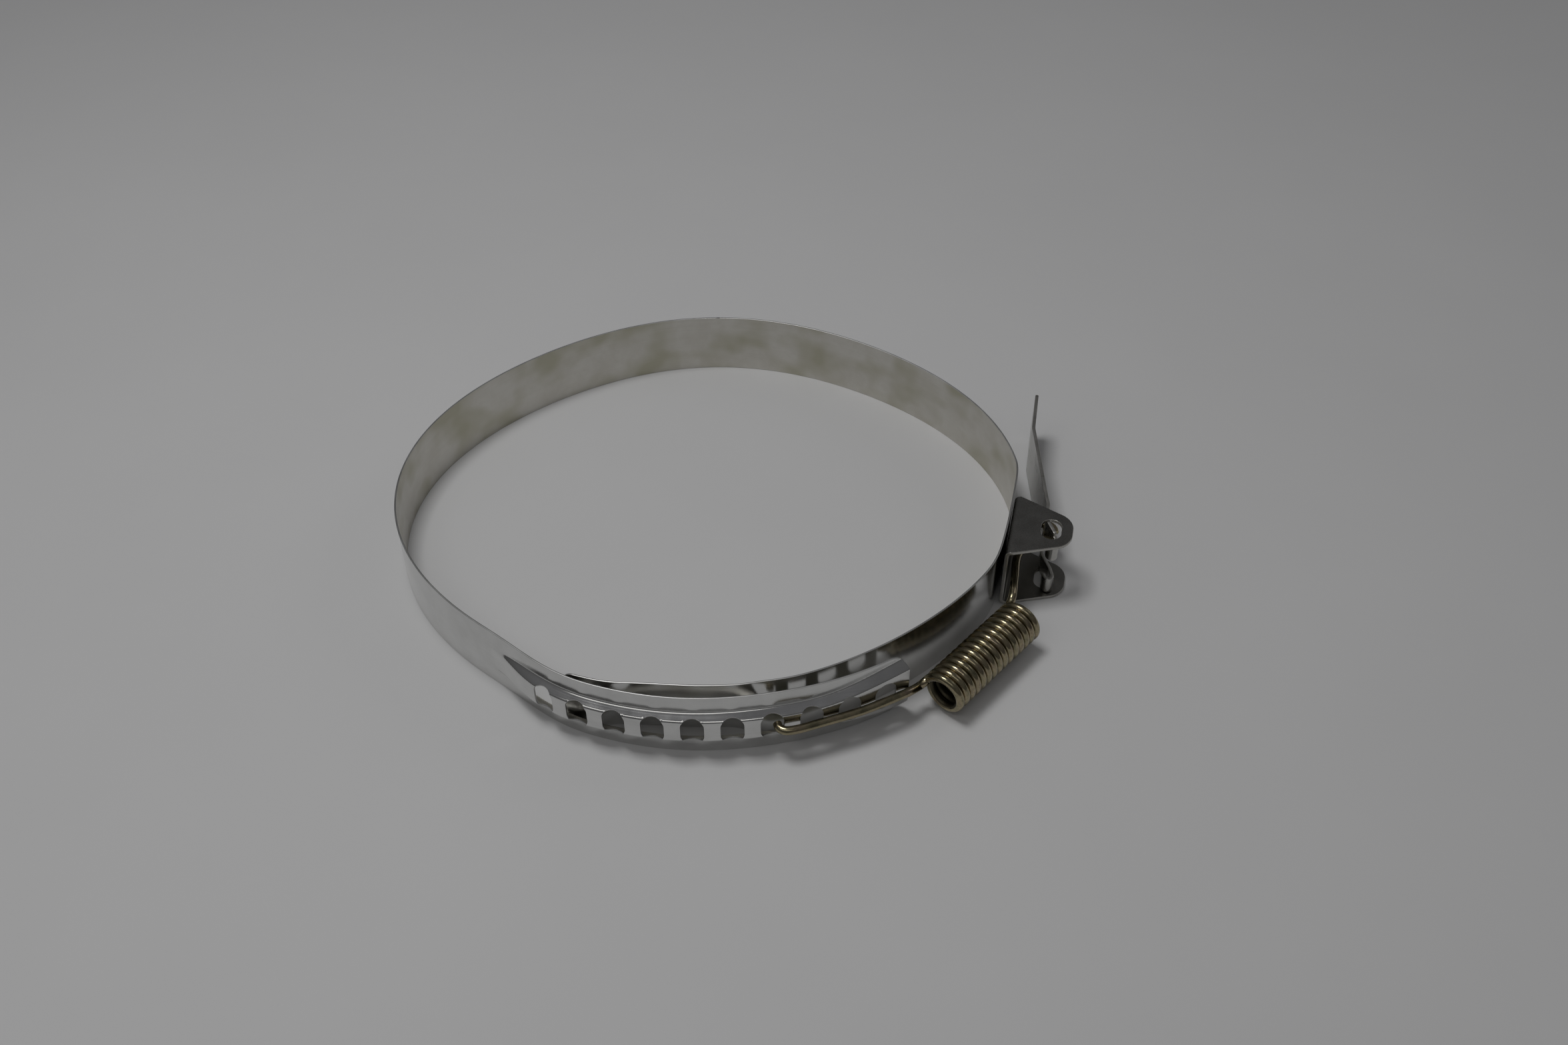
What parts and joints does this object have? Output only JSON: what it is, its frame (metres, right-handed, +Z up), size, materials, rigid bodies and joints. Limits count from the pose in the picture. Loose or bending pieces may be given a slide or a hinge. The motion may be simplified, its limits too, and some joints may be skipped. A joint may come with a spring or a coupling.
{
  "type": "quick-release band clamp",
  "caption": "Springy steel band clamp with an embossed, slotted rail, a plain tongue and a folding lever that pulls a coil spring hooked in one of the slots.",
  "frame": {"origin": "middle of the clamp's footprint, on the plane its lower edge rests on", "axes": "+Z up across the strip's width, +X from the plain back of the hoop's left side to the lever, rail at the front (-Y)"},
  "size_m": [0.1922, 0.1682, 0.02],
  "materials": {
    "bright_strip": "bright rolled stainless strip",
    "dull_sheet": "satin pressed steel sheet",
    "yellow_wire": "yellow-passivated zinc on drawn spring wire"
  },
  "bodies": {
    "latch_band": {"tongue_strip": "bright_strip", "band_latch_side": "bright_strip", "latch_bracket": "dull_sheet"},
    "rail_band": {"band_rail_side": "bright_strip", "hook_rail": "bright_strip"},
    "lever": {"lever": "dull_sheet"},
    "spring_tail": {"spring_tail_leg": "yellow_wire", "spring_coil": "yellow_wire"},
    "spring_hook": {"spring_hook_leg": "yellow_wire"}
  },
  "joints": [
    {"name": "lever_pivot", "type": "hinge", "parent": "latch_band", "child": "lever", "pos_m": [0.09006, -0.01771, 0.01], "axis": [0, 0, -1], "range_deg": [0, 140]},
    {"name": "spring_swivel", "type": "hinge", "parent": "lever", "child": "spring_tail", "pos_m": [0.09016, -0.00871, 0.01], "axis": [0, 0, 1], "range_deg": [0, 180]},
    {"name": "spring_stretch", "type": "slide", "parent": "spring_tail", "child": "spring_hook", "axis": [-0.6626, -0.749, 0], "range_m": [0, 0.008], "stiffness_N_per_m": 400, "deforming": ["spring_coil"]},
    {"name": "band_flex", "type": "hinge", "parent": "latch_band", "child": "rail_band", "pos_m": [-0.06401, 0.06121, 0.01], "axis": [0, 0, -1], "range_deg": [0, 6]}
  ],
  "couplings": [
    {"joint": "spring_swivel", "follows": "lever_pivot", "ratio": 1.2852},
    {"joint": "band_flex", "follows": "lever_pivot", "ratio": 0.0424}
  ]
}
